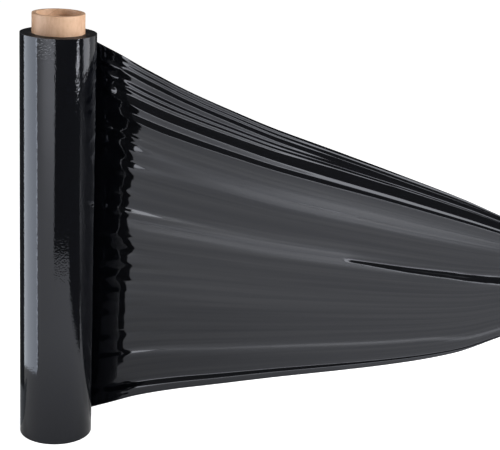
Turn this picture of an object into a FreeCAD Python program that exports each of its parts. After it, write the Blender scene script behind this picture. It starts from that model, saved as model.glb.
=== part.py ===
import FreeCAD, Part
import math
import os

# Wound roll of stretch film standing on its end, with a length of film pulled out of it.
# Millimetres, +Z up. The origin is on the core's axis, in the plane that the roll stands on.
# The film leaves the back of the roll and runs to +X and a little towards -Y.

# Film winding
film_width = 500.0
film_outer_radius = 44.1
winding_edge_break = 0.7

# Turns that slipped along the core in small groups, seen as rings on both ends of the winding
slipped_groups = 5
slip_depth = 0.5

# Core tube
core_bore_radius = 25.4
core_wall = 5.1
core_stick_out = 22.8
core_edge_break = 0.5

# Pulled-out length of film, seen from above
lift_off_angle = 26.0
root_depth = 0.15
sheet_reach = 530.0
end_slant = 6.0
sheet_thickness = 0.6

# Height of the sheet's two edges, as the drop in from the winding's own ends.
# One value for each share of the reach in edge_stations.
edge_stations = [0.0, 0.10, 0.17, 0.26, 0.37, 0.50, 0.76, 0.91, 1.0]
top_edge_drop = [3.0, 24.5, 41.2, 58.0, 76.1, 95.8, 126.5, 144.9, 158.5]
bottom_edge_rise = [3.0, 26.6, 43.6, 61.0, 79.2, 100.8, 142.9, 172.8, 200.7]
corner_round = 12.0

# Fold lines that run out along the sheet, from its bottom edge to its top edge. Each has its share
# of the width close to the roll, its share far from the roll, and the lean in degrees, back from
# upright, of the strip of film above it.
near_run = 110.0
far_run = 400.0
smooth_lean = -2.3
hem_folds = [(0.024, 0.046, 18.0), (0.044, 0.050, smooth_lean)]
wave_folds = [
    (0.128, 0.118, 10.0),
    (0.152, 0.148, smooth_lean),
    (0.330, 0.330, 0.0),
    (0.400, 0.400, smooth_lean),
    (0.505, 0.495, 6.5),
    (0.560, 0.560, 2.5),
    (0.600, 0.600, smooth_lean),
    (0.705, 0.705, 6.0),
    (0.755, 0.770, 3.0),
    (0.800, 0.815, smooth_lean),
]
pleat_flat_lean = 5.0
pleat_steep_lean = 22.0
steep_pleats = [
    (0.839, 0.853, 0.858, 0.865),
    (0.879, 0.885, 0.904, 0.920),
    (0.914, 0.930, 0.922, 0.934),
    (0.930, 0.940, 0.939, 0.945),
    (0.956, 0.950, 0.970, 0.955),
    (0.992, 0.989, 1.000, 1.000),
]

# Lengths along the sheet in which its waves and its pleats reach their full lean
wave_growth = (0.0, 90.0)
pleat_growth = (20.0, 120.0)

# How far the upper part of the sheet comes forward where it leaves the roll, before it falls back
forward_depth = 15.0
forward_run = 130.0
forward_end = 330.0
forward_from = 0.1
forward_power = 4.0

# Curves that carry the sheet's skin, beside the fold lines themselves
stations_along = 13
station_crowding = 1.25
plain_lines = [0.0, 0.003, 0.010, 0.070, 0.100, 0.240, 0.450, 0.650, 0.977, 0.985, 0.997, 1.0]

core_outer_radius = core_bore_radius + core_wall
core_length = film_width + core_stick_out
lift_off = math.radians(lift_off_angle)
along = FreeCAD.Vector(math.cos(lift_off), -math.sin(lift_off), 0.0)
outward = FreeCAD.Vector(math.sin(lift_off), math.cos(lift_off), 0.0)
up = FreeCAD.Vector(0.0, 0.0, 1.0)


def revolved(points):
    """Solid turned about Z from its outline's (radius, height) points."""
    corners = [FreeCAD.Vector(radius, 0.0, height) for radius, height in points]
    face = Part.Face(Part.makePolygon(corners + corners[:1]))
    return face.revolve(FreeCAD.Vector(0, 0, 0), up, 360.0)


def make_core():
    """Paperboard tube, square inside and broken a little on its outer rims."""
    edge = core_edge_break
    profile = [
        (core_bore_radius, 0.0),
        (core_outer_radius - edge, 0.0),
        (core_outer_radius, edge),
        (core_outer_radius, core_length - edge),
        (core_outer_radius - edge, core_length),
        (core_bore_radius, core_length),
    ]
    return revolved(profile)


def make_winding():
    """All the wound turns, with every second group of them slipped a little along the core."""
    wound_depth = film_outer_radius - core_outer_radius
    pitch = wound_depth / slipped_groups
    edge = winding_edge_break
    steps = []
    for group in range(slipped_groups):
        inner = core_outer_radius + group * pitch
        slip = slip_depth if group % 2 else 0.0
        steps += [(inner, slip), (inner + pitch, slip)]
    outer, slip = steps.pop()
    steps += [(outer - edge, slip), (outer, slip + edge)]
    return revolved(steps + [(radius, film_width - height) for radius, height in reversed(steps)])


def smooth_through(stations, values, place):
    """Value at a place between stations, on a smooth curve through all of them."""
    last = len(stations) - 1
    k = 0
    while k < last - 1 and place > stations[k + 1]:
        k += 1
    slopes = []
    for i in (k, k + 1):
        low, high = max(i - 1, 0), min(i + 1, last)
        slopes.append((values[high] - values[low]) / (stations[high] - stations[low]))
    span = stations[k + 1] - stations[k]
    t = (place - stations[k]) / span
    bend_a = t * (1.0 - t) ** 2 * slopes[0] * span
    bend_b = t * t * (t - 1.0) * slopes[1] * span
    return values[k] * (1.0 + 2.0 * t) * (1.0 - t) ** 2 + values[k + 1] * t * t * (3.0 - 2.0 * t) + bend_a + bend_b


def eased(share):
    """Share from 0 to 1, eased at both ends."""
    held = min(1.0, max(0.0, share))
    return held * held * (3.0 - 2.0 * held)


def end_reach(across):
    """How far the sheet runs at a place across it: the end slants, and its corners are rounded."""
    end_height = film_width - top_edge_drop[-1] - bottom_edge_rise[-1]
    from_corner = (0.5 - abs(across - 0.5)) * end_height
    reach = sheet_reach + end_slant * (1.0 - 2.0 * across)
    if from_corner < corner_round:
        missing = corner_round - from_corner
        reach -= corner_round - math.sqrt(corner_round ** 2 - missing ** 2)
    return reach


def all_folds():
    """Every fold line as its near share, far share, lean of the film above it, and growth."""
    folds = [fold + (wave_growth,) for fold in hem_folds + wave_folds]
    for low_near, low_far, high_near, high_far in steep_pleats:
        folds.append((low_near, low_far, pleat_steep_lean, pleat_growth))
        folds.append((high_near, high_far, pleat_flat_lean, pleat_growth))
    return folds


def fold_share(near, far, run):
    """Share of the width at which a fold line lies, a run's length from the roll."""
    gone = min(1.0, max(0.0, (run - near_run) / (far_run - near_run)))
    return near + (far - near) * gone


def forward_set(run, across):
    """How far the sheet comes forward, towards the roll's front, at a place on it."""
    gone = min(1.0, max(0.0, run / forward_run))
    coming = gone ** 3 * (4.0 - 3.0 * gone)
    falling = eased((run - forward_run) / (forward_end - forward_run))
    share = max(0.0, (across - forward_from) / (1.0 - forward_from)) ** forward_power
    return forward_depth * share * (coming - falling)


def fold_offset(run, across, width):
    """How far the sheet stands off its flat plane, away from the roll's axis.

    run is the length along the film, across the share of the width from the bottom edge, and
    width the film's width there.
    """
    lean_below = math.tan(math.radians(smooth_lean))
    offset = lean_below * across * width * eased(run / wave_growth[1]) - forward_set(run, across)
    for near, far, lean, (start, full) in all_folds():
        lean_above = math.tan(math.radians(lean))
        past_fold = max(0.0, across - fold_share(near, far, run)) * width
        offset += (lean_above - lean_below) * past_fold * eased((run - start) / (full - start))
        lean_below = lean_above
    return offset


def fold_lines():
    """Points of each line that runs out along the sheet, from its bottom edge to its top edge."""
    root = outward * (film_outer_radius - root_depth - sheet_thickness)
    shares = [(near, far) for near, far, lean, growth in all_folds() if near < 1.0]
    shares += [(share, share) for share in plain_lines]
    lines = []
    for near, far in sorted(shares):
        points = []
        for step in range(stations_along):
            place = (step / (stations_along - 1.0)) ** station_crowding
            top = film_width - smooth_through(edge_stations, top_edge_drop, place)
            bottom = smooth_through(edge_stations, bottom_edge_rise, place)
            across = fold_share(near, far, place * sheet_reach)
            run = place * end_reach(across)
            height = bottom + (top - bottom) * across
            offset = fold_offset(run, across, top - bottom)
            points.append(root + along * run + outward * offset + up * height)
        lines.append(points)
    return lines


def make_sheet():
    """Pulled-out film: strips from line to line, given their thickness straight towards the back."""
    through = outward * sheet_thickness
    lines = fold_lines()
    fronts = []
    for points in lines:
        curve = Part.BSplineCurve()
        curve.interpolate(points)
        fronts.append(curve.toShape())
    backs = [front.translated(through) for front in fronts]
    loop = fronts + backs[::-1]
    same_way = 1
    faces = [Part.makeRuledSurface(a, b, same_way) for a, b in zip(loop, loop[1:] + loop[:1])]
    for low, high in zip(lines, lines[1:]):
        for end in (0, -1):
            corners = [low[end], high[end], high[end] + through, low[end] + through, low[end]]
            faces.append(Part.Face(Part.makePolygon(corners)))
    shell = Part.makeShell(faces)
    shell.sewShape()
    sheet = Part.makeSolid(shell)
    if sheet.Volume < 0.0:
        sheet.reverse()
    return sheet


def make_film():
    """Winding and pulled-out sheet as the one continuous web that they are."""
    return make_winding().fuse(make_sheet())


def main():
    os.makedirs("parts", exist_ok=True)
    for node, solid in (("cardboard_core", make_core()), ("stretch_film", make_film())):
        if solid.ShapeType == "Compound" and len(solid.Solids) == 1:
            solid = solid.Solids[0]
        box = solid.BoundBox
        print(node, solid.ShapeType, solid.isValid(), len(solid.Solids), round(solid.Volume, 1), box)
        solid.exportStep("parts/" + node + ".step")


main()
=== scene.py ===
"""Looks of a roll of black stretch film, with a length of film pulled out of it."""

import logging
import math
from collections.abc import Callable
from dataclasses import dataclass, field
from enum import Enum

import bpy
import numpy as np
from mathutils import Matrix, Vector


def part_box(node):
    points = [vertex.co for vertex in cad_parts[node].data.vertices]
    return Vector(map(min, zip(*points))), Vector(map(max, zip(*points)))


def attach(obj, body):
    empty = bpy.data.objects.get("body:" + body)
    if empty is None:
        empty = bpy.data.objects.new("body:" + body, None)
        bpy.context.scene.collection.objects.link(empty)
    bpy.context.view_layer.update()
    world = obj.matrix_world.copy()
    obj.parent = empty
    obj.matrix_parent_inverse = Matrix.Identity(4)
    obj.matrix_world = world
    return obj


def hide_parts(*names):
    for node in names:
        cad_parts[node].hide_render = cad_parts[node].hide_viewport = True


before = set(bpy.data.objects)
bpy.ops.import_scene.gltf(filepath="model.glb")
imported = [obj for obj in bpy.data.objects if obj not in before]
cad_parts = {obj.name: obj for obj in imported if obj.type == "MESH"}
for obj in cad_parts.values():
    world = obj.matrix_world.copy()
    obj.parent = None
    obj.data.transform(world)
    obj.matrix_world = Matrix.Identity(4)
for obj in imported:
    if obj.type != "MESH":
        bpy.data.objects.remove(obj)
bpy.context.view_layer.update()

log = logging.getLogger("film_roll")

MM = 0.001
FULL_TURN = 2.0 * math.pi
TINY = 1e-5
# Least share of a face's normal that points up or down where the face is an end
END_FACE = 0.9

Array = np.ndarray
Material = bpy.types.Material
Piece = bpy.types.Object
Socket = bpy.types.NodeSocket


class Slot(Enum):
    """Material slots of the record."""

    PAPERBOARD = "paperboard"
    FILM = "film"


class Node(Enum):
    """Solids of the frame."""

    CORE = "cardboard_core"
    FILM = "stretch_film"


# Shader helpers


class Value:
    """A socket that gives one number, with arithmetic that adds Math nodes."""

    def __init__(self, shader: "Shader", socket: Socket) -> None:
        """Wraps an output socket.

        Args:
            shader: The tree that the socket is in.
            socket: The output that holds the number.
        """
        self.shader = shader
        self.socket = socket

    def _math(self, operation: str, *terms: "Value | float", clamp: bool = False) -> "Value":
        """Adds a Math node.

        Args:
            operation: The node's operation.
            terms: Its inputs in order.
            clamp: Whether the result is kept from 0 to 1.

        Returns:
            The node's result.
        """
        values = dict(enumerate(terms))
        settings = {"operation": operation, "use_clamp": clamp}
        return self.shader.node("Math", settings, values).value("Value")

    def __add__(self, other: "Value | float") -> "Value":
        """Sum."""
        return self._math("ADD", self, other)

    __radd__ = __add__

    def __sub__(self, other: "Value | float") -> "Value":
        """Difference."""
        return self._math("SUBTRACT", self, other)

    def __rsub__(self, other: float) -> "Value":
        """Difference from a number."""
        return self._math("SUBTRACT", other, self)

    def __mul__(self, other: "Value | float") -> "Value":
        """Product."""
        return self._math("MULTIPLY", self, other)

    __rmul__ = __mul__

    def __truediv__(self, other: "Value | float") -> "Value":
        """Quotient."""
        return self._math("DIVIDE", self, other)

    def __pow__(self, other: float) -> "Value":
        """Power."""
        return self._math("POWER", self, other)

    def __gt__(self, other: "Value | float") -> "Value":
        """1 where this is the larger, and 0 elsewhere."""
        return self._math("GREATER_THAN", self, other)

    def clipped(self) -> "Value":
        """The same number, kept from 0 to 1."""
        return self._math("ADD", self, 0.0, clamp=True)

    def angle(self, other: "Value") -> "Value":
        """Angle in radians of the point whose Y is this and whose X is the other."""
        return self._math("ARCTAN2", self, other)

    def fraction(self) -> "Value":
        """Part after the decimal point."""
        return self._math("FRACT", self)

    def between(self, low: float, high: float, top: float = 1.0) -> "Value":
        """Smooth step up from 0.

        Args:
            low: Where the step starts.
            high: Where it ends.
            top: What it comes to.

        Returns:
            The step.
        """
        settings = {"interpolation_type": "SMOOTHSTEP", "clamp": True}
        inputs = {"Value": self, "From Min": low, "From Max": high, "To Max": top}
        return self.shader.node("MapRange", settings, inputs).value("Result")


@dataclass
class Made:
    """A node just added, read by its outputs."""

    shader: "Shader"
    node: bpy.types.Node

    def value(self, name: str) -> Value:
        """One output as a number."""
        return Value(self.shader, self.node.outputs[name])

    def out(self, name: str) -> Socket:
        """One output as it is, such as a colour, a vector or a shader."""
        return self.node.outputs[name]


class Shader:
    """The node tree of a material or a world, built by one method that adds any node."""

    def __init__(self, name: str, world: bpy.types.World | None = None) -> None:
        """Starts an empty tree.

        Args:
            name: The new material's name.
            world: The world that gets the tree, where it isn't a material's.
        """
        self.owner = world or bpy.data.materials.new(name)
        self.owner.use_nodes = True
        self.tree = self.owner.node_tree
        self.tree.nodes.clear()

    def node(self, kind: str, settings: dict | None = None, inputs: dict | None = None) -> Made:
        """Adds a node.

        Args:
            kind: The node's type, without the start that all of them share.
            settings: Its own settings, set before its sockets.
            inputs: Socket name or number to a value, a Value or an output socket.

        Returns:
            The new node.
        """
        made = self.tree.nodes.new("ShaderNode" + kind)
        for key, setting in (settings or {}).items():
            setattr(made, key, setting)
        for key, given in (inputs or {}).items():
            socket = made.inputs[key]
            if isinstance(given, Value):
                self.tree.links.new(given.socket, socket)
            elif isinstance(given, Socket):
                self.tree.links.new(given, socket)
            else:
                socket.default_value = given
        return Made(self, made)

    def place(self) -> tuple[Socket, Value, Value, Value]:
        """Reads the object coordinates in metres.

        Returns:
            The point whole, and as three numbers.
        """
        point = self.node("TexCoord").out("Object")
        return point, *self.parts(point)

    def parts(self, vector: Socket) -> tuple[Value, Value, Value]:
        """A vector's three numbers."""
        split = self.node("SeparateXYZ", None, {"Vector": vector})
        return split.value("X"), split.value("Y"), split.value("Z")

    def vector(self, x: "Value | float", y: "Value | float", z: "Value | float") -> Socket:
        """A vector from three numbers."""
        return self.node("CombineXYZ", None, {"X": x, "Y": y, "Z": z}).out("Vector")

    def principled(self, inputs: dict) -> Material:
        """Finishes the material with a Principled BSDF."""
        return self.finish(self.node("BsdfPrincipled", None, inputs).out("BSDF"))

    def noise(self, at: Socket, scale: float, layers: tuple) -> Value:
        """Smooth noise about 0.5.

        Args:
            at: The point where it is read.
            scale: Waves per unit of the point.
            layers: How many finer layers it has, and how strong they are.

        Returns:
            The noise.
        """
        inputs = {"Vector": at, "Scale": scale, "Detail": layers[0], "Roughness": layers[1]}
        return self.node("TexNoise", None, inputs).value("Fac")

    def drawn(self, place: tuple, waves: tuple, layers: tuple) -> Value:
        """Noise that is drawn out more in one direction than in another.

        Args:
            place: The three numbers of the point where it is read.
            waves: Waves per unit of each of them.
            layers: How many finer layers it has, and how strong they are.

        Returns:
            The noise.
        """
        point = self.vector(*(part * scale for part, scale in zip(place, waves)))
        return self.noise(point, 1.0, layers)

    def blend(self, share: "Value | float", a: tuple | Socket, b: tuple | Socket) -> Socket:
        """Colour between two colours.

        Args:
            share: 0 gives a and 1 gives b.
            a: First colour.
            b: Second colour.

        Returns:
            The mixed colour.
        """
        mix = self.node("Mix", {"data_type": "RGBA"}, {0: share, 6: a, 7: b})
        return mix.node.outputs[2]

    def bump(
        self, height: Value, distance: float, normal: Socket | None = None, strength: float = 1.0
    ) -> Socket:
        """Normal of a surface raised by a height.

        Args:
            height: The height as a share of distance.
            distance: The height's size in metres.
            normal: A normal from another bump under this one.
            strength: How much of the height shows.

        Returns:
            The new normal.
        """
        inputs = {"Height": height, "Strength": strength, "Distance": distance}
        if normal is not None:
            inputs["Normal"] = normal
        return self.node("Bump", None, inputs).out("Normal")

    def finish(self, surface: Socket) -> Material:
        """Joins the surface to the output and gives the material."""
        self.node("OutputMaterial", None, {"Surface": surface})
        return self.owner


# Finishes

# Finer layers of a noise, and how strong they are
PLAIN = (1.0, 0.5)
SOFT = (2.0, 0.55)
ROUGH = (3.0, 0.6)
FIBROUS = (4.0, 0.7)


@dataclass(frozen=True)
class GlossyFilm:
    """Black polyethylene film, drawn lengthways, so that its faint lines run along it.

    Waves are counted in a metre: the wound film's along X, Y and the height, and the pulled film's
    along it and across it.
    """

    name: str
    colour: tuple = (0.0016, 0.0019, 0.0030, 1.0)
    gloss_tint: tuple = (0.93, 0.96, 1.06, 1.0)
    ior: float = 1.52
    roughness: float = 0.05
    uneven_roughness: float = 0.03
    film_width: float = 500.0 * MM
    end_depth: float = 0.25 * MM
    end_roughness: float = 0.4
    line_pitch: float = 1.7 * MM
    line_height: float = 0.006 * MM
    band_waves: tuple = (9.0, 9.0, 70.0)
    ripple_height: float = 0.05 * MM
    grain_waves: float = 480.0
    grain_height: float = 0.09 * MM
    crumple_waves: tuple = (110.0, 110.0, 55.0)
    crumple_height: float = 0.5 * MM
    crumple_place: tuple = (0.036, -0.026, 0.455)
    crumple_reach: float = 0.062
    drawn_line_waves: tuple = (1.4, 0.5 / (1.7 * MM), 0.0)
    drawn_line_height: float = 0.014 * MM
    mark_waves: tuple = (2.2, 85.0, 0.0)
    mark_layers: tuple = (2.0, 0.5)
    mark_height: float = 0.11 * MM
    # Noise values between which a line or mark grows glossier, and how much coat it gets
    mark_gloss: tuple = (0.35, 0.75, 0.28)
    line_gloss: tuple = (0.4, 0.7, 0.10)

    def wound(self) -> Material:
        """Film on the roll: lines go round it, and rings show on its ends.

        Returns:
            The material.
        """
        s = Shader(self.name)
        point, x, y, z = s.place()
        radius = (x * x + y * y) ** 0.5
        across = z + radius
        lines = s.noise(s.vector(0.0, 0.0, across / self.line_pitch), 1.0, ROUGH)
        bands = s.drawn((x, y, across), self.band_waves, SOFT)
        fine = s.bump(lines, self.line_height)
        grain = s.bump(s.noise(point, self.grain_waves, PLAIN), self.grain_height, fine)
        away = s.node("VectorMath", {"operation": "DISTANCE"}, {0: point, 1: self.crumple_place})
        near = (1.0 - away.value("Value") / self.crumple_reach).clipped()
        folds = s.drawn((x, y, z - x), self.crumple_waves, ROUGH)
        crumple = s.bump(folds * near, self.crumple_height, grain)
        normal = s.bump(bands, self.ripple_height, crumple)
        middle = self.film_width / 2.0
        end = ((z - middle) * (z - middle)) > (middle - self.end_depth) ** 2
        rough = self.roughness + (bands - 0.5) * self.uneven_roughness + end * self.end_roughness
        return self._surface(s, rough, normal)

    def pulled(self) -> Material:
        """Film off the roll: lines run out along it, and soft stretch marks lie between them.

        Returns:
            The material.
        """
        s = Shader(self.name)
        place = s.parts(s.node("UVMap", {"uv_map": "along_across"}).out("UV"))
        lines = s.drawn(place, self.drawn_line_waves, ROUGH)
        marks = s.drawn(place, self.mark_waves, self.mark_layers)
        normal = s.bump(marks, self.mark_height, s.bump(lines, self.drawn_line_height))
        rough = self.roughness + (marks - 0.5) * self.uneven_roughness
        shine = marks.between(*self.mark_gloss) + lines.between(*self.line_gloss)
        return self._surface(s, rough, normal, shine)

    def _surface(
        self, s: Shader, rough: Value, normal: Socket, shine: Value | float = 0.0
    ) -> Material:
        """Glossy black surface.

        Args:
            s: The tree to finish.
            rough: Its roughness.
            normal: Its normal.
            shine: Weight of the coat on its stretch marks.

        Returns:
            The material.
        """
        inputs = {
            "Base Color": self.colour, "Roughness": rough, "Normal": normal, "IOR": self.ior,
            "Specular Tint": self.gloss_tint, "Coat Weight": shine,
            "Coat Roughness": self.roughness,
        }
        return s.principled(inputs)


@dataclass(frozen=True)
class Paperboard:
    """Kraft board wound in a spiral, with its seams, fibres and pressed plies."""

    name: str = "spiral_paperboard"
    light: tuple = (0.76, 0.50, 0.33, 1.0)
    dark: tuple = (0.54, 0.30, 0.17, 1.0)
    seam_colour: tuple = (0.26, 0.15, 0.08, 1.0)
    seam_share: float = 0.55
    ior: float = 1.5
    strip_width: float = 96.0 * MM
    strip_start: float = 10.3
    seam_width: float = 0.5 * MM
    ply_pitch: float = 0.62 * MM
    plies_in_a_turn: float = 1.5
    fibre_waves: tuple = (260.0, 260.0, 90.0)
    cloud_waves: float = 38.0
    ply_layers: tuple = (1.0, 0.4)
    # Noise values between which the board darkens, and how much of its mottling that makes
    cloud_mix: tuple = (0.3, 0.7, 0.55)
    fibre_mix: tuple = (0.35, 0.7, 0.35)
    strip_mix: float = 0.1
    # Shares of the fibres, the seam and the plies in the relief
    fibre_relief: float = 0.35
    seam_relief: float = 0.6
    ply_relief: float = 0.25
    relief: float = 0.12 * MM
    relief_strength: float = 0.7
    roughness: float = 0.52
    fibre_gloss: float = 0.12

    def make(self) -> Material:
        """Board for the tube's walls and its cut ends.

        Returns:
            The material.
        """
        s = Shader(self.name)
        point, x, y, z = s.place()
        turn = y.angle(x) / FULL_TURN
        strip = (z / self.strip_width + turn + self.strip_start).fraction()
        edge = self.seam_width / self.strip_width
        seam = strip.between(0.0, edge) * (1.0 - strip.between(1.0 - edge, 1.0))
        fibres = s.drawn((x, y, z), self.fibre_waves, FIBROUS)
        cloud = s.noise(point, self.cloud_waves, ROUGH)
        radius = (x * x + y * y) ** 0.5
        rings = s.vector(radius / self.ply_pitch, turn * self.plies_in_a_turn, 0.0)
        plies = s.noise(rings, 1.0, self.ply_layers)
        mottle = cloud.between(*self.cloud_mix) + fibres.between(*self.fibre_mix)
        share = (mottle + strip * self.strip_mix).clipped()
        body = s.blend(share, self.light, self.dark)
        colour = s.blend((1.0 - seam) * self.seam_share, body, self.seam_colour)
        height = fibres * self.fibre_relief + seam * self.seam_relief + plies * self.ply_relief
        normal = s.bump(height, self.relief, None, self.relief_strength)
        rough = self.roughness - fibres * self.fibre_gloss
        inputs = {"Base Color": colour, "Roughness": rough, "Normal": normal, "IOR": self.ior}
        return s.principled(inputs)


# Modelling helpers


def only(piece: Piece) -> None:
    """Selects one object alone and makes it the active one.

    Args:
        piece: The object.
    """
    bpy.ops.object.select_all(action="DESELECT")
    piece.select_set(True)
    bpy.context.view_layer.objects.active = piece


def edit(piece: Piece) -> None:
    """Goes into edit mode, by faces, with nothing selected.

    Args:
        piece: The object to edit.
    """
    only(piece)
    bpy.ops.object.mode_set(mode="EDIT")
    bpy.ops.mesh.select_mode(type="FACE")
    bpy.ops.mesh.select_all(action="DESELECT")


def select(piece: Piece, wanted: Callable[..., bool], edges: bool = False) -> None:
    """Selects what a test accepts, and nothing else; the object is left in edit mode.

    Args:
        piece: The object in edit mode.
        wanted: Test of one face, or of an edge's two end points.
        edges: Whether edges are tested, in place of faces.
    """
    bpy.ops.mesh.select_all(action="DESELECT")
    bpy.ops.object.mode_set(mode="OBJECT")
    points = piece.data.vertices
    if edges:
        for edge in piece.data.edges:
            edge.select = wanted(*(points[end].co for end in edge.vertices))
    else:
        for face in piece.data.polygons:
            face.select = wanted(face)
    bpy.ops.object.mode_set(mode="EDIT")


def cylinder(name: str, segments: int, radius: float, low: float, high: float) -> Piece:
    """Adds an upright cylinder on the axis, and selects its two end faces in edit mode.

    Args:
        name: The piece's name.
        segments: How many sides it has.
        radius: Its radius in metres.
        low: Height of its lower end.
        high: Height of its upper end.

    Returns:
        The new piece.
    """
    bpy.ops.object.select_all(action="DESELECT")
    bpy.ops.mesh.primitive_cylinder_add(
        vertices=segments, radius=radius, depth=high - low, location=(0.0, 0.0, (low + high) / 2.0)
    )
    piece = bpy.context.active_object
    piece.name = name
    bpy.ops.object.transform_apply(location=True)
    edit(piece)
    select(piece, lambda face: abs(face.normal.z) > END_FACE)
    return piece


def close() -> None:
    """Turns all the faces of the edited piece outwards and leaves edit mode."""
    bpy.ops.mesh.select_all(action="SELECT")
    bpy.ops.mesh.normals_make_consistent(inside=False)
    bpy.ops.object.mode_set(mode="OBJECT")


def settle(
    piece: Piece, material: Material, replaced: Node
) -> None:
    """Puts a finished piece's place in its mesh, dresses it and hands it to the frame.

    Args:
        piece: The finished piece.
        material: Its finish.
        replaced: The solid that it stands for.
    """
    only(piece)
    bpy.ops.object.transform_apply(location=True, rotation=True, scale=True)
    piece.data.materials.clear()
    piece.data.materials.append(material)
    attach(piece, "root")
    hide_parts(replaced.value)
    log.info("%s: %d faces", piece.name, len(piece.data.polygons))


def coordinates(piece: Piece) -> Array:
    """Vertex places of a piece.

    Args:
        piece: The piece.

    Returns:
        One row for each vertex.
    """
    flat = np.zeros(len(piece.data.vertices) * 3)
    piece.data.vertices.foreach_get("co", flat)
    return flat.reshape(-1, 3)


def eased(share: Array) -> Array:
    """Share kept from 0 to 1, and eased at both ends."""
    held = np.clip(share, 0.0, 1.0)
    return held * held * (3.0 - 2.0 * held)


def gone(run: Array, span: tuple) -> Array:
    """Share from 0 to 1 of the way through a span."""
    return np.clip((run - span[0]) / (span[1] - span[0]), 0.0, 1.0)


def set_coordinates(piece: Piece, points: Array) -> None:
    """Gives a piece's vertices new places.

    Args:
        piece: The piece.
        points: One row for each vertex.
    """
    piece.data.vertices.foreach_set("co", points.ravel())
    piece.data.update()


# Core


@dataclass
class CoreTube:
    """Paperboard tube with softly broken rims."""

    segments: int = 160
    side_rings: int = 70
    wall: float = 5.1 * MM
    rim_break: float = 0.55 * MM
    rim_steps: int = 3
    smooth_below: float = math.radians(40.0)
    low: Vector = field(default_factory=lambda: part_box(Node.CORE.value)[0])
    high: Vector = field(default_factory=lambda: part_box(Node.CORE.value)[1])

    def build(self) -> None:
        """Models the tube and dresses it."""
        piece = cylinder("spiral_board_tube", self.segments, self.high.x, self.low.z, self.high.z)
        bpy.ops.mesh.inset(thickness=self.wall, depth=0.0)
        bpy.ops.mesh.bridge_edge_loops()
        select(piece, self._on_a_rim, edges=True)
        bpy.ops.mesh.bevel(offset=self.rim_break, segments=self.rim_steps, affect="EDGES")
        half = (self.high.z - self.low.z) / 2.0
        select(piece, lambda a, b: abs(a.z - b.z) > half, edges=True)
        bpy.ops.mesh.subdivide(number_cuts=self.side_rings)
        close()
        bpy.ops.object.shade_smooth_by_angle(angle=self.smooth_below)
        settle(piece, Paperboard().make(), Node.CORE)

    def _on_a_rim(self, a: Vector, b: Vector) -> bool:
        """Whether an edge between two points runs round one of the tube's four rims."""
        level = min(abs(a.z - rim) + abs(b.z - rim) for rim in (self.low.z, self.high.z)) < TINY
        return level and abs(a.xy.length - b.xy.length) < TINY


# Winding


@dataclass
class Winding:
    """Wound turns: a ring with slipped turns on its ends and faint bands round its side."""

    film_width: float = 500.0 * MM
    outer: float = 44.1 * MM
    inner: float = 30.5 * MM
    segments: int = 224
    end_rings: int = 26
    side_rings: int = 150
    smooth_below: float = math.radians(60.0)
    slip: float = 0.45 * MM
    slip_swing: float = 1.9
    slip_shares: tuple = (0.3, 1.0)
    band_height: float = 0.05 * MM
    band_waves: tuple = (9.0, 17.0, 31.0, 52.0)
    seed: int = 7

    def build(self) -> None:
        """Models the wound turns and dresses them."""
        piece = cylinder("wound_film", self.segments, self.outer, 0.0, self.film_width)
        slips = self._slips()
        pitch = (self.outer - self.inner) / self.end_rings
        for before, after in zip(slips, slips[1:]):
            bpy.ops.mesh.inset(thickness=pitch, depth=before - after)
        bpy.ops.mesh.bridge_edge_loops()
        half = self.film_width / 2.0
        side = self.outer - TINY
        select(piece, lambda a, b: abs(a.z - b.z) > half and a.xy.length > side, edges=True)
        bpy.ops.mesh.subdivide(number_cuts=self.side_rings)
        close()
        self._shape_side(piece)
        bpy.ops.object.shade_smooth_by_angle(angle=self.smooth_below)
        settle(piece, GlossyFilm("film_on_the_roll").wound(), Node.FILM)

    def _slips(self) -> list[float]:
        """Draws how far each ring of turns sits in from the end.

        Returns:
            The depths in metres, from the outermost ring inwards.
        """
        random = np.random.default_rng(self.seed)
        steps = [0.0, 0.0]
        for ring in range(1, self.end_rings):
            swing = 0.5 + 0.5 * math.sin(self.slip_swing * ring)
            steps.append(self.slip * swing * random.uniform(*self.slip_shares))
        return steps

    def _shape_side(self, piece: Piece) -> None:
        """Gives the side its faint uneven bands.

        Args:
            piece: The ring.
        """
        points = coordinates(piece)
        radius = np.hypot(points[:, 0], points[:, 1])
        height = points[:, 2] / self.film_width
        bands = np.zeros(len(height))
        random = np.random.default_rng(self.seed)
        for waves in self.band_waves:
            start = random.uniform(0.0, FULL_TURN)
            bands += np.sin(FULL_TURN * waves * height + start) / math.sqrt(waves)
        grown = np.where(radius > self.outer - TINY, self.band_height * bands, 0.0)
        points[:, :2] *= ((radius + grown) / radius)[:, None]
        set_coordinates(piece, points)


# Pulled-out film


@dataclass(frozen=True)
class Crease:
    """Line that runs out along the film and above which the film leans back.

    The path holds pairs of millimetres along the film and shares across it. The film comes to its
    tilt in degrees over a width in millimetres, given for the path's start and end, and flattens
    over the same. The fades are the lengths in which the crease grows and dies, and the settling
    is the width over which the film above it comes back.
    """

    path: tuple
    widths: tuple
    tilt: float
    fade_in: float = 40.0
    fade_out: float = 1.0
    settling: float = 14.0

    def lean(self, along: Array, across: Array, height: Array) -> Array:
        """How far the crease sets the film back.

        Args:
            along: Metres along the film.
            across: Shares of the width.
            height: Metres from the bottom edge to the top edge.

        Returns:
            The offsets in metres.
        """
        along = along / MM
        stops, places = zip(*self.path)
        first, last = self.widths
        width = first + (last - first) * gone(along, (stops[0], stops[-1]))
        past = (across - np.interp(along, stops, places)) * height / MM
        low = np.clip(past + width, 0.0, width)
        high = np.clip(past, 0.0, width)
        raised = (low * low - high * high) / (2.0 * width) + high
        raised *= np.exp(-np.maximum(past, 0.0) / self.settling)
        grown = eased((along - stops[0]) / self.fade_in)
        left = eased((stops[-1] - along) / self.fade_out)
        return grown * left * math.tan(math.radians(self.tilt)) * raised * MM


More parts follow.
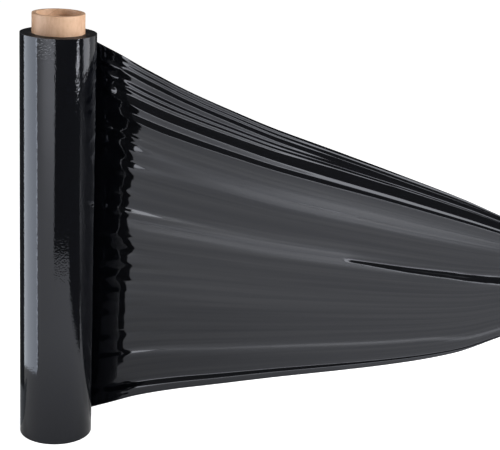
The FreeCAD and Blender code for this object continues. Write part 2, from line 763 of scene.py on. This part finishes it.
@dataclass(frozen=True)
class Fold:
    """Line that runs out along the whole film, with the film above it leaning at its own angle.

    Near and far are its shares of the width close to the roll and far from it, and end is its share
    at the free end. Lean is in degrees, back from upright, and far_lean is the one far from the
    roll. Softness is the width in millimetres over which the film turns. The spans along the film
    are in millimetres: growth for the lean's start, slide and ending for the change from near to
    far and from far to end, and settling for the change to far_lean.
    """

    near: float
    far: float
    lean: float
    softness: float = 1.0
    far_lean: float | None = None
    end: float | None = None
    growth: tuple = (20.0, 120.0)
    slide: tuple = (110.0, 400.0)
    settling: tuple = (200.0, 400.0)
    ending: tuple = (440.0, 510.0)

    def share(self, run: Array) -> Array:
        """Share of the width at which the fold lies, millimetres along the film."""
        last = 0.0 if self.end is None else (self.end - self.far) * eased(gone(run, self.ending))
        return self.near + (self.far - self.near) * gone(run, self.slide) + last

    def rise(self, run: Array) -> Array:
        """Tangent of the lean of the film above the fold.

        Args:
            run: Millimetres along the film.

        Returns:
            The tangents.
        """
        near = math.tan(math.radians(self.lean))
        far = near if self.far_lean is None else math.tan(math.radians(self.far_lean))
        return near + (far - near) * gone(run, self.settling)

    def grown(self, run: Array) -> Array:
        """How far the fold has come to its full lean, millimetres along the film."""
        return eased(gone(run, self.growth))


# Lean in degrees of the smooth film, and of the pleats' steep and flat strips close to the roll
SMOOTH = -2.3
STEEP = 22.0
FLAT = 5.0
# Millimetres along the film in which a wave grows, and over which a pleat turns
WAVE = (0.0, 90.0)
PLEAT_SOFTNESS = 0.8


def wave(near: float, far: float, lean: float, softness: float, end: float | None = None) -> Fold:
    """Fold of the smooth part of the film, which grows sooner than a pleat."""
    return Fold(near, far, lean, softness, None, end, WAVE)


HEM_FOLDS = (wave(0.024, 0.030, 24.0, 1.0), wave(0.044, 0.042, SMOOTH, 1.2))
WAVE_FOLDS = (
    wave(0.128, 0.118, 12.0, 2.5, 0.080),
    wave(0.152, 0.148, SMOOTH, 2.5, 0.118),
    wave(0.330, 0.330, 3.0, 6.0),
    wave(0.375, 0.375, SMOOTH, 12.0),
    wave(0.522, 0.500, 8.5, 4.0),
    wave(0.572, 0.572, 2.0, 10.0),
    wave(0.605, 0.605, SMOOTH, 10.0),
    wave(0.713, 0.705, 7.0, 4.0),
    wave(0.755, 0.770, 3.0, 12.0),
    wave(0.800, 0.815, SMOOTH, 10.0),
)
# Lower and upper fold of each steep strip, close to the roll and far from it, with the leans far
# from the roll of the steep strip and of the flat one above it
STEEP_PLEATS = (
    (0.839, 0.853, 0.858, 0.865, 22.0, 5.0),
    (0.879, 0.885, 0.904, 0.920, 22.0, 5.0),
    (0.914, 0.930, 0.922, 0.934, 14.0, 4.0),
    (0.930, 0.940, 0.939, 0.945, 14.0, 5.0),
    (0.956, 0.949, 0.970, 0.962, 14.0, 5.0),
    (0.977, 0.971, 0.984, 0.977, 22.0, 5.0),
    (0.992, 0.989, 1.000, 1.000, 8.0, 5.0),
)
PLEAT_FOLDS = tuple(
    Fold(near, far, lean, PLEAT_SOFTNESS, far_lean)
    for low_near, low_far, high_near, high_far, *leans in STEEP_PLEATS
    for near, far, lean, far_lean in (
        (low_near, low_far, STEEP, leans[0]), (high_near, high_far, FLAT, leans[1])
    )
)

# The slit near the free end, and three notches beside the roll
CREASES = (
    Crease(
        ((342.0, 0.536), (405.0, 0.527), (465.0, 0.520), (560.0, 0.480)), (0.5, 10.0), 26.0, 10.0
    ),
    Crease(((46.0, 0.501), (118.0, 0.4925)), (3.4, 0.6), 24.0, 30.0, 50.0),
    Crease(((46.0, 0.452), (108.0, 0.4445)), (3.0, 0.5), 24.0, 30.0, 45.0),
    Crease(((46.0, 0.374), (102.0, 0.353)), (4.0, 0.6), 24.0, 30.0, 40.0),
)


@dataclass
class PulledFilm:
    """Length of film that leaves the back of the roll, gathered into pleats along its top edge."""

    film_width: float = 500.0 * MM
    roll_radius: float = 44.1 * MM
    lift_off: float = math.radians(26.0)
    reach: float = 530.0 * MM
    end_slant: float = 6.0 * MM
    corner_round: float = 12.0 * MM
    # The end of the sheet that still lies on the roll: its length, its share of the rows, how far
    # it stands proud of the roll and tucks in at its end, and its share of the edges' drop
    wrap_length: float = 62.0 * MM
    wrapped: float = 0.12
    proud: float = 0.14 * MM
    tuck: float = 0.22 * MM
    wrapped_drop: float = 0.1
    stretch: float = 1.18
    thickness: float = 0.10 * MM
    stations: tuple = (0.0, 0.10, 0.17, 0.26, 0.37, 0.50, 0.76, 0.91, 1.0)
    # Millimetres in from the winding's ends
    top_drop: tuple = (3.0, 24.5, 41.2, 58.0, 76.1, 95.8, 126.5, 144.9, 158.5)
    bottom_rise: tuple = (3.0, 26.6, 43.6, 61.0, 79.2, 100.8, 142.9, 172.8, 200.7)
    forward_depth: float = 13.5 * MM
    forward_run: float = 130.0 * MM
    forward_end: float = 330.0 * MM
    forward_from: float = 0.1
    forward_power: int = 6
    folds: tuple = HEM_FOLDS + WAVE_FOLDS + PLEAT_FOLDS
    creases: tuple = CREASES
    flame_depth: float = 1.15 * MM
    flame_reach: float = 60.0 * MM
    flame_count: int = 30
    flame_jitter: float = 0.4
    flame_widths: tuple = (0.007, 0.016)
    # Share of the width above which the flames are weaker, among the pleats, and how weak
    weak_flames: tuple = (0.80, 0.15)
    dimple_depth: float = 1.5 * MM
    # Millimetres along, share across, and half sizes along and across in millimetres
    dimples: tuple = (
        (43.0, 0.960, 8.0, 3.0), (43.0, 0.932, 8.0, 3.5), (45.0, 0.893, 6.0, 7.0),
        (40.0, 0.792, 7.0, 4.0), (40.0, 0.719, 7.0, 4.0),
    )
    rows_along: int = 150
    crowding: float = 1.2
    # Shares of the width, and how many rows lie between them
    rows_across: tuple = ((0.0, 0.08, 36), (0.08, 0.82, 140), (0.82, 1.0, 140))
    seed: int = 11

    def _edge(self, values: tuple, place: Array) -> Array:
        """Smooth curve through the edge's values.

        Args:
            values: Millimetres at each station.
            place: Shares of the reach.

        Returns:
            Metres at each place.
        """
        x, y = np.array(self.stations), np.array(values) * MM
        low = np.maximum(np.arange(len(x)) - 1, 0)
        high = np.minimum(np.arange(len(x)) + 1, len(x) - 1)
        slope = (y[high] - y[low]) / (x[high] - x[low])
        k = np.clip(np.searchsorted(x, place) - 1, 0, len(x) - 2)
        span = x[k + 1] - x[k]
        t = (place - x[k]) / span
        ends = y[k] * (1 + 2 * t) * (1 - t) ** 2 + y[k + 1] * t * t * (3 - 2 * t)
        return ends + (t * (1 - t) ** 2 * slope[k] + t * t * (t - 1) * slope[k + 1]) * span

    def _end_reach(self, across: Array) -> Array:
        """Reach of the sheet, whose end slants and has rounded corners.

        Args:
            across: Shares of the width.

        Returns:
            Metres from the lift-off line.
        """
        end_height = self.film_width - (self.top_drop[-1] + self.bottom_rise[-1]) * MM
        from_corner = (0.5 - np.abs(across - 0.5)) * end_height
        missing = np.clip(self.corner_round - from_corner, 0.0, self.corner_round)
        rounding = self.corner_round - np.sqrt(self.corner_round ** 2 - missing ** 2)
        return self.reach + self.end_slant * (1.0 - 2.0 * across) - rounding

    def offset(self, run: Array, across: Array, height: Array) -> Array:
        """How far the sheet stands off its flat plane, away from the roll's axis.

        Args:
            run: Metres along the film from the lift-off line.
            across: Shares of the width, from the bottom edge.
            height: Metres from the bottom edge to the top edge.

        Returns:
            The offsets.
        """
        length = run / MM
        lean_below = math.tan(math.radians(SMOOTH))
        offset = lean_below * across * height * self.folds[0].grown(length)
        for fold in self.folds:
            lean_above = fold.rise(length)
            past = (across - fold.share(length)) * height
            turned = 0.5 * (past + np.sqrt(past ** 2 + (fold.softness * MM) ** 2))
            offset += (lean_above - lean_below) * turned * fold.grown(length)
            lean_below = lean_above
        for crease in self.creases:
            offset += crease.lean(run, across, height)
        for along, place, half_length, half_width in self.dimples:
            lengthways = (length - along) / half_length
            crossways = (across - place) * height / (half_width * MM)
            offset -= self.dimple_depth * np.exp(-(lengthways ** 2) - crossways ** 2)
        return offset - self._forward(run, across) + self._flames(run, across)

    def _forward(self, run: Array, across: Array) -> Array:
        """How far the sheet comes forward where it leaves the roll, before it falls back.

        Args:
            run: Metres along the film.
            across: Shares of the width.

        Returns:
            The forward set in metres.
        """
        coming = gone(run, (0.0, self.forward_run))
        falling = eased(gone(run, (self.forward_run, self.forward_end)))
        share = gone(across, (self.forward_from, 1.0)) ** self.forward_power
        return self.forward_depth * share * (coming ** 3 * (4.0 - 3.0 * coming) - falling)

    def _flames(self, run: Array, across: Array) -> Array:
        """Short creases that start where the film leaves the roll and soon fade.

        Args:
            run: Metres along the film.
            across: Shares of the width.

        Returns:
            Their heights in metres.
        """
        random = np.random.default_rng(self.seed)
        total = np.zeros_like(across)
        share = np.maximum(run / self.flame_reach, 0.0)
        swell = share * np.exp(1.0 - share - 0.25 * share ** 2)
        for count in range(self.flame_count):
            jitter = random.uniform(-self.flame_jitter, self.flame_jitter)
            centre = (count + jitter) / self.flame_count
            width = random.uniform(*self.flame_widths)
            depth = random.uniform(-1.0, 1.0)
            if centre > self.weak_flames[0]:
                depth *= self.weak_flames[1]
            total += depth * np.exp(-(((across - centre) / width) ** 2))
        return self.flame_depth * swell * total

    def build(self) -> None:
        """Models the sheet from a grid and dresses it."""
        across = self._places_across()
        bpy.ops.object.select_all(action="DESELECT")
        columns, rows = self.rows_along, len(across) - 1
        bpy.ops.mesh.primitive_grid_add(x_subdivisions=columns, y_subdivisions=rows, size=1.0)
        piece = bpy.context.active_object
        piece.name = "pulled_out_film"
        grid = coordinates(piece)
        u = np.round((grid[:, 0] + 0.5) * columns) / columns
        v = across[np.round((grid[:, 1] + 0.5) * rows).astype(int)]
        run, points = self._surface(u, v)
        set_coordinates(piece, points)
        uv = piece.data.uv_layers.new(name="along_across")
        corners = np.zeros(len(piece.data.loops), int)
        piece.data.loops.foreach_get("vertex_index", corners)
        uv.data.foreach_set("uv", np.stack([run[corners], v[corners] * self.film_width], 1).ravel())
        solid = piece.modifiers.new("film", "SOLIDIFY")
        solid.thickness = self.thickness
        solid.offset = 0.0
        only(piece)
        bpy.ops.object.modifier_apply(modifier=solid.name)
        edit(piece)
        close()
        bpy.ops.object.shade_smooth()
        settle(piece, GlossyFilm("film_off_the_roll").pulled(), Node.FILM)

    def _places_across(self) -> Array:
        """Shares of the width at which the sheet has points, closer together in the pleats.

        Returns:
            The shares in order.
        """
        zones = [np.linspace(*zone, endpoint=False) for zone in self.rows_across]
        return np.concatenate(zones + [[1.0]])

    def _surface(self, u: Array, v: Array) -> tuple[Array, Array]:
        """Places of the sheet's points.

        Args:
            u: 0 where the outer turn parts from the winding, and 1 at the sheet's free end.
            v: Shares of the width, from the bottom edge.

        Returns:
            How far each point lies along the film from the lift-off line, and the points.
        """
        on_roll = u < self.wrapped
        place = gone(u, (self.wrapped, 1.0)) ** self.crowding
        wound = np.where(on_roll, 1.0 - u / self.wrapped, 0.0)
        back = wound * self.wrap_length
        run = place * self._end_reach(v) - back
        drop = self.wrapped_drop + (1.0 - self.wrapped_drop) * (1.0 - wound) ** 2
        top = self.film_width - self._edge(self.top_drop, place) * drop
        bottom = self._edge(self.bottom_rise, place) * drop
        radius = self.roll_radius + self.proud - self.tuck * wound ** 3
        angle = 0.5 * math.pi - self.lift_off + back / self.roll_radius
        out = np.array([math.sin(self.lift_off), math.cos(self.lift_off)])
        along = np.array([math.cos(self.lift_off), -math.sin(self.lift_off)])
        arc = np.stack([radius * np.cos(angle), radius * np.sin(angle)], 1)
        depth = (radius + self.offset(np.maximum(run, 0.0), v, top - bottom))[:, None]
        flat = depth * out + np.maximum(run, 0.0)[:, None] * along
        plan = np.where(on_roll[:, None], arc, flat)
        z = bottom + (top - bottom) * v
        return run, np.column_stack([plan, z])


# Studio


@dataclass
class Studio:
    """Pale floor, soft lights, dark boards that the gloss reflects, and the camera."""

    camera_place: tuple = (0.0, -1528.5 * MM, 767.0 * MM)
    camera_yaw: float = 0.1512
    camera_pitch: float = 0.3108
    camera_roll: float = 0.0535
    lens: float = 95.836
    floor_size: float = 60.0
    floor_colour: tuple = (0.80, 0.80, 0.80, 1.0)
    floor_glow: float = 0.80
    mirrored_glow: float = 0.385
    # Distances from the axis over which the roll shades the floor in its own reflection
    shade_from: float = 0.02
    shade_reach: float = 0.35
    world_light: float = 0.35
    # Tint of the cards on the left, which the roll's cold strip mirrors
    cold: tuple = (0.93, 0.99, 1.06, 1.0)
    plain: tuple = (1.0, 1.0, 1.0, 1.0)
    # Distances at which a ray from the roll, and one from the root of the sheet, pass the axis
    roll_rays: tuple = (-0.046, 0.046)
    root_rays: tuple = (0.040, 0.057)
    low_root_rays: tuple = (0.040, 0.0505)
    # Distance from the axis of the cards beside the roll
    beside: float = 0.16
    # Those whose ends aren't plumb: lower edge's height and azimuths, upper edge's, radiance
    slanted: tuple = (
        ("left_edge", 0.038, (-66.0, -54.5), (-66.0, -60.7), 0.56, 3.4),
        ("left_line", 0.045, (-54.5, -52.7), (-60.7, -58.5), 0.56, 6.5),
        ("left_gap", 0.045, (-52.0, -50.0), (-56.5, -56.0), 0.30, 0.3),
    )
    # Cards on the floor: azimuths of their corners, distances of their near and far edges,
    # radiance, and where the rays that they stop pass the axis
    mats: tuple = (
        # painted shade: dim cards on the floor at the roll's foot, beside and behind it, which
        # darken the floor in the roll's reflections
        ("left_painted_shade", (-180.0, -96.0), (0.05, 0.05), 0.21, 0.25, None),
        ("right_painted_shade", (112.0, 180.0), (0.05, 0.05), 0.21, 0.25, None),
        # painted light: a glowing card on the floor in front on the right, which brightens the
        # floor in the roll's reflection only
        ("floor_painted_light", (36.0, 39.0, 58.0, 76.0), (0.72, 0.577, 0.39, 0.30), 1.3, 0.10, roll_rays),
        # painted reflection: a dim card at the roll's foot, seen only by rays from the film next to
        # the roll, which widens the roll's dark reflection there
        ("root_painted_reflection", (-66.0, -42.0, -18.0), (0.06, 0.06, 0.06), 0.5, 0.04, low_root_rays),
    )
    mat_height: float = 0.001
    # Widest step of an arc in degrees, and the ceiling's half size and height
    arc_step: float = 12.0
    ceiling: tuple = (3.4, 2.4)

    def build(self) -> None:
        """Sets up the whole studio, with plain view settings."""
        bpy.context.scene.view_settings.view_transform = "Standard"
        self._floor()
        self._world()
        self._lights()
        self._cards()
        self._camera()

    def _seen(self, s: Shader) -> Value:
        """1 for the rays that show the background: from the camera, mirrored or let through.

        Args:
            s: The tree that it is for.

        Returns:
            1 or 0.
        """
        rays = s.node("LightPath")
        total = rays.value("Is Camera Ray") + rays.value("Is Glossy Ray")
        return (total + rays.value("Is Transmission Ray")).clipped()

    def _floor(self) -> None:
        """White floor that keeps the object's shadow."""
        bpy.ops.object.select_all(action="DESELECT")
        bpy.ops.mesh.primitive_plane_add(size=self.floor_size, location=(0.0, 0.0, 0.0))
        floor = bpy.context.active_object
        floor.name = "floor"
        s = Shader("floor_white")
        diffuse = s.node("BsdfDiffuse", None, {"Color": self.floor_colour}).out("BSDF")
        _, x, y, _ = s.place()
        shaded = (((x * x + y * y) ** 0.5 - self.shade_from) / self.shade_reach).clipped()
        camera = s.node("LightPath").value("Is Camera Ray")
        mirrored = self._seen(s) * (1.0 - camera) * shaded * self.mirrored_glow
        strength = camera * self.floor_glow + mirrored
        glow = s.node("Emission", None, {"Color": self.plain, "Strength": strength})
        both = s.node("AddShader", None, {0: diffuse, 1: glow.out("Emission")})
        floor.data.materials.append(s.finish(both.out("Shader")))

    def _world(self) -> None:
        """White surroundings, softer as a light than as a background."""
        world = bpy.data.worlds.new("studio")
        bpy.context.scene.world = world
        s = Shader("studio", world)
        strength = self._seen(s) * (1.0 - self.world_light) + self.world_light
        background = s.node("Background", None, {"Strength": strength}).out("Background")
        s.node("OutputWorld", None, {"Surface": background})

    def _softbox(
        self, name: str, place: Vector, aim: Vector, size: tuple, radiance: float,
        spread: float = 180.0,
    ) -> None:
        """Rectangular light.

        Args:
            name: The light's name.
            place: Where it hangs, in metres.
            aim: The point that it faces.
            size: Width and height in metres.
            radiance: How bright its face is, where 1 is white.
            spread: Angle in degrees that its grid lets through.
        """
        light = bpy.data.lights.new(name, "AREA")
        light.shape = "RECTANGLE"
        light.size, light.size_y = size
        light.energy = radiance * math.pi * size[0] * size[1]
        light.spread = math.radians(spread)
        lamp = bpy.data.objects.new(name, light)
        lamp.location = place
        lamp.rotation_euler = (aim - place).to_track_quat("-Z", "Y").to_euler()
        bpy.context.scene.collection.objects.link(lamp)

    @staticmethod
    def _round(azimuth: float, distance: float, height: float) -> Vector:
        """Place round the roll.

        Args:
            azimuth: Degrees from the front, towards the right.
            distance: Metres from the axis.
            height: Metres above the floor.

        Returns:
            The point.
        """
        angle = math.radians(azimuth)
        return Vector((math.sin(angle) * distance, -math.cos(angle) * distance, height))

    def _lights(self) -> None:
        """Softboxes on both sides, and one that lights the floor in front."""
        middle = Vector((0.0, 0.0, 0.45))
        self._softbox("left_fill", self._round(-85.0, 1.2, 0.8), middle, (0.5, 0.6), 5.0)
        self._softbox("right_back", self._round(92.0, 1.3, 0.46), middle, (0.56, 0.9), 2.4)
        self._softbox("right_key", self._round(62.0, 1.5, 1.1), middle, (0.6, 0.6), 18.0)
        front = self._round(-20.0, 2.3, 1.2)
        self._softbox("front_floor", front, Vector((front.x, front.y, 0.0)), (2.4, 1.6), 3.0, 120.0)

    def _card(
        self, name: str, corners: list, radiance: float, passing: tuple | None = None
    ) -> None:
        """Flat card that only mirror reflections see.

        Args:
            name: The card's name.
            corners: Its four corners in order, in metres.
            radiance: How bright it is, where 0 is black and 1 is white.
            passing: Where the rays that it stops pass the axis, if it doesn't stop them all.
        """
        bpy.ops.object.select_all(action="DESELECT")
        bpy.ops.mesh.primitive_plane_add(size=1.0)
        card = bpy.context.active_object
        card.name = name
        for vertex, k in zip(card.data.vertices, (0, 1, 3, 2)):
            vertex.co = corners[k]
        s = Shader(name)
        tint = self.cold if name.startswith("left_") else self.plain
        glow = s.node("Emission", None, {"Color": tint, "Strength": radiance})
        face = glow.out("Emission")
        if passing:
            face = self._louvre(s, face, passing)
        card.data.materials.append(s.finish(face))
        for ray in ("camera", "diffuse", "transmission", "shadow"):
            setattr(card, "visible_" + ray, False)

    def _louvre(self, s: Shader, face: Socket, passing: tuple) -> Socket:
        """Stops only the level rays that pass the roll's axis within a range of distances.

        Args:
            s: The card's tree.
            face: Its surface where it stops a ray.
            passing: Lowest and highest distance in metres, with its sign seen from above.

        Returns:
            The louvred surface.
        """
        geometry = s.node("NewGeometry")
        x, y, _ = s.parts(geometry.out("Position"))
        ray_x, ray_y, _ = s.parts(geometry.out("Incoming"))
        distance = (x * ray_y - y * ray_x) / (ray_x * ray_x + ray_y * ray_y) ** 0.5
        stopped = (distance > passing[0]) * ((distance * -1.0) > -passing[1])
        clear = s.node("BsdfTransparent").out("BSDF")
        return s.node("MixShader", None, {0: stopped, 1: clear, 2: face}).out("Shader")

    def _strip(
        self, names: list, low: list, high: list, radiance: float, passing: tuple | None = None
    ) -> None:
        """Cards side by side.

        Args:
            names: Their names.
            low: Azimuth, distance and height of the corners on their lower or near edge, in order.
            high: The same for their upper or far edge.
            radiance: How bright they are.
            passing: Where the rays that they stop pass the axis, if they don't stop them all.
        """
        for k, name in enumerate(names):
            corners = [self._round(*place) for place in (low[k], low[k + 1], high[k + 1], high[k])]
            self._card(name, corners, radiance, passing)

    def _arc(
        self, name: str, span: tuple, distance: float, heights: tuple, radiance: float,
        passing: tuple | None = None,
    ) -> None:
        """Upright card bent round the roll.

        Args:
            name: The card's name.
            span: Azimuths of its two ends in degrees from the front, towards the right.
            distance: Metres from the axis.
            heights: Heights of its lower and upper edges in metres.
            radiance: How bright it is.
            passing: Where the rays that it stops pass the axis, if it doesn't stop them all.
        """
        steps = max(1, int(abs(span[1] - span[0]) / self.arc_step))
        ends = [span[0] + (span[1] - span[0]) * step / steps for step in range(steps + 1)]
        low, high = ([(end, distance, height) for end in ends] for height in heights)
        self._strip([f"{name}_{step}" for step in range(steps)], low, high, radiance, passing)

    def _cards(self) -> None:
        """Bright and dark surroundings that the gloss mirrors."""
        beside = self.beside
        self._arc("left_bright", (-107.5, -66.0), beside, (0.038, 0.56), 3.4)
        for name, foot, low, high, top, radiance in self.slanted:
            lower = [(azimuth, beside, foot) for azimuth in low]
            upper = [(azimuth, beside, top) for azimuth in high]
            self._strip([name], lower, upper, radiance)
        self._arc("left_dark", (-176.0, -107.5), beside, (0.0, 0.56), 0.06)
        self._arc("right_glint", (55.5, 62.5), 1.15, (0.225, 0.315), 9.0, self.roll_rays)
        self._arc("right_dark_limb", (127.0, 176.0), beside, (0.0, 0.56), 0.06)
        self._arc("front_dark", (-9.0, 39.0), 0.72, (0.0, 2.5), 0.10, self.roll_rays)
        self._arc("right_dark", (39.0, 77.0), 1.2, (0.0, 2.5), 0.10, self.roll_rays)
        for name, azimuths, distances, reach, radiance, passing in self.mats:
            near = [(*place, self.mat_height) for place in zip(azimuths, distances)]
            far = [(azimuth, reach, self.mat_height) for azimuth in azimuths]
            names = [f"{name}_{k}" for k in range(len(near) - 1)] if len(near) > 2 else [name]
            self._strip(names, near, far, radiance, passing)
        # painted reflection: dark cards seen only by rays from the film next to the roll that pass
        # just outside it, which widen the roll's dark reflection in the film
        self._arc("root_dark", (-66.0, -18.0), 0.5, (0.26, 0.62), 0.04, self.root_rays)
        self._arc("root_dark_low", (-66.0, -18.0), 0.5, (0.0, 0.26), 0.04, self.low_root_rays)
        self._arc("horizon", (-80.0, 20.0), 3.0, (0.05, 0.36), 4.6)
        self._arc("above_horizon", (-90.0, 110.0), 3.1, (0.36, 2.6), 0.14)
        self._arc("back_dark", (150.0, 210.0), 2.0, (0.5, 2.0), 0.05)
        quarters = ((-1.0, -1.0), (1.0, -1.0), (1.0, 1.0), (-1.0, 1.0))
        side, height = self.ceiling
        self._card("ceiling_dark", [(x * side, y * side, height) for x, y in quarters], 0.10)

    def _camera(self) -> None:
        """Camera at the photograph's place, turn and lens."""
        yaw, pitch, roll = self.camera_yaw, self.camera_pitch, self.camera_roll
        level = Vector((math.cos(yaw), -math.sin(yaw), 0.0))
        ahead = Vector((math.sin(yaw), math.cos(yaw), 0.0))
        forward = ahead * math.cos(pitch) - Vector((0.0, 0.0, math.sin(pitch)))
        upright = level.cross(forward)
        right = level * math.cos(roll) + upright * math.sin(roll)
        top = upright * math.cos(roll) - level * math.sin(roll)
        data = bpy.data.cameras.new("camera")
        data.lens = self.lens
        data.sensor_width = 36.0
        camera = bpy.data.objects.new("camera", data)
        turn = Matrix((right, top, -forward)).transposed().to_4x4()
        camera.matrix_world = Matrix.Translation(self.camera_place) @ turn
        bpy.context.scene.collection.objects.link(camera)
        bpy.context.scene.camera = camera


def main() -> None:
    """Builds the roll and its studio."""
    logging.basicConfig(level=logging.INFO)
    Studio().build()
    CoreTube().build()
    Winding().build()
    PulledFilm().build()


if __name__ == "__main__":
    main()
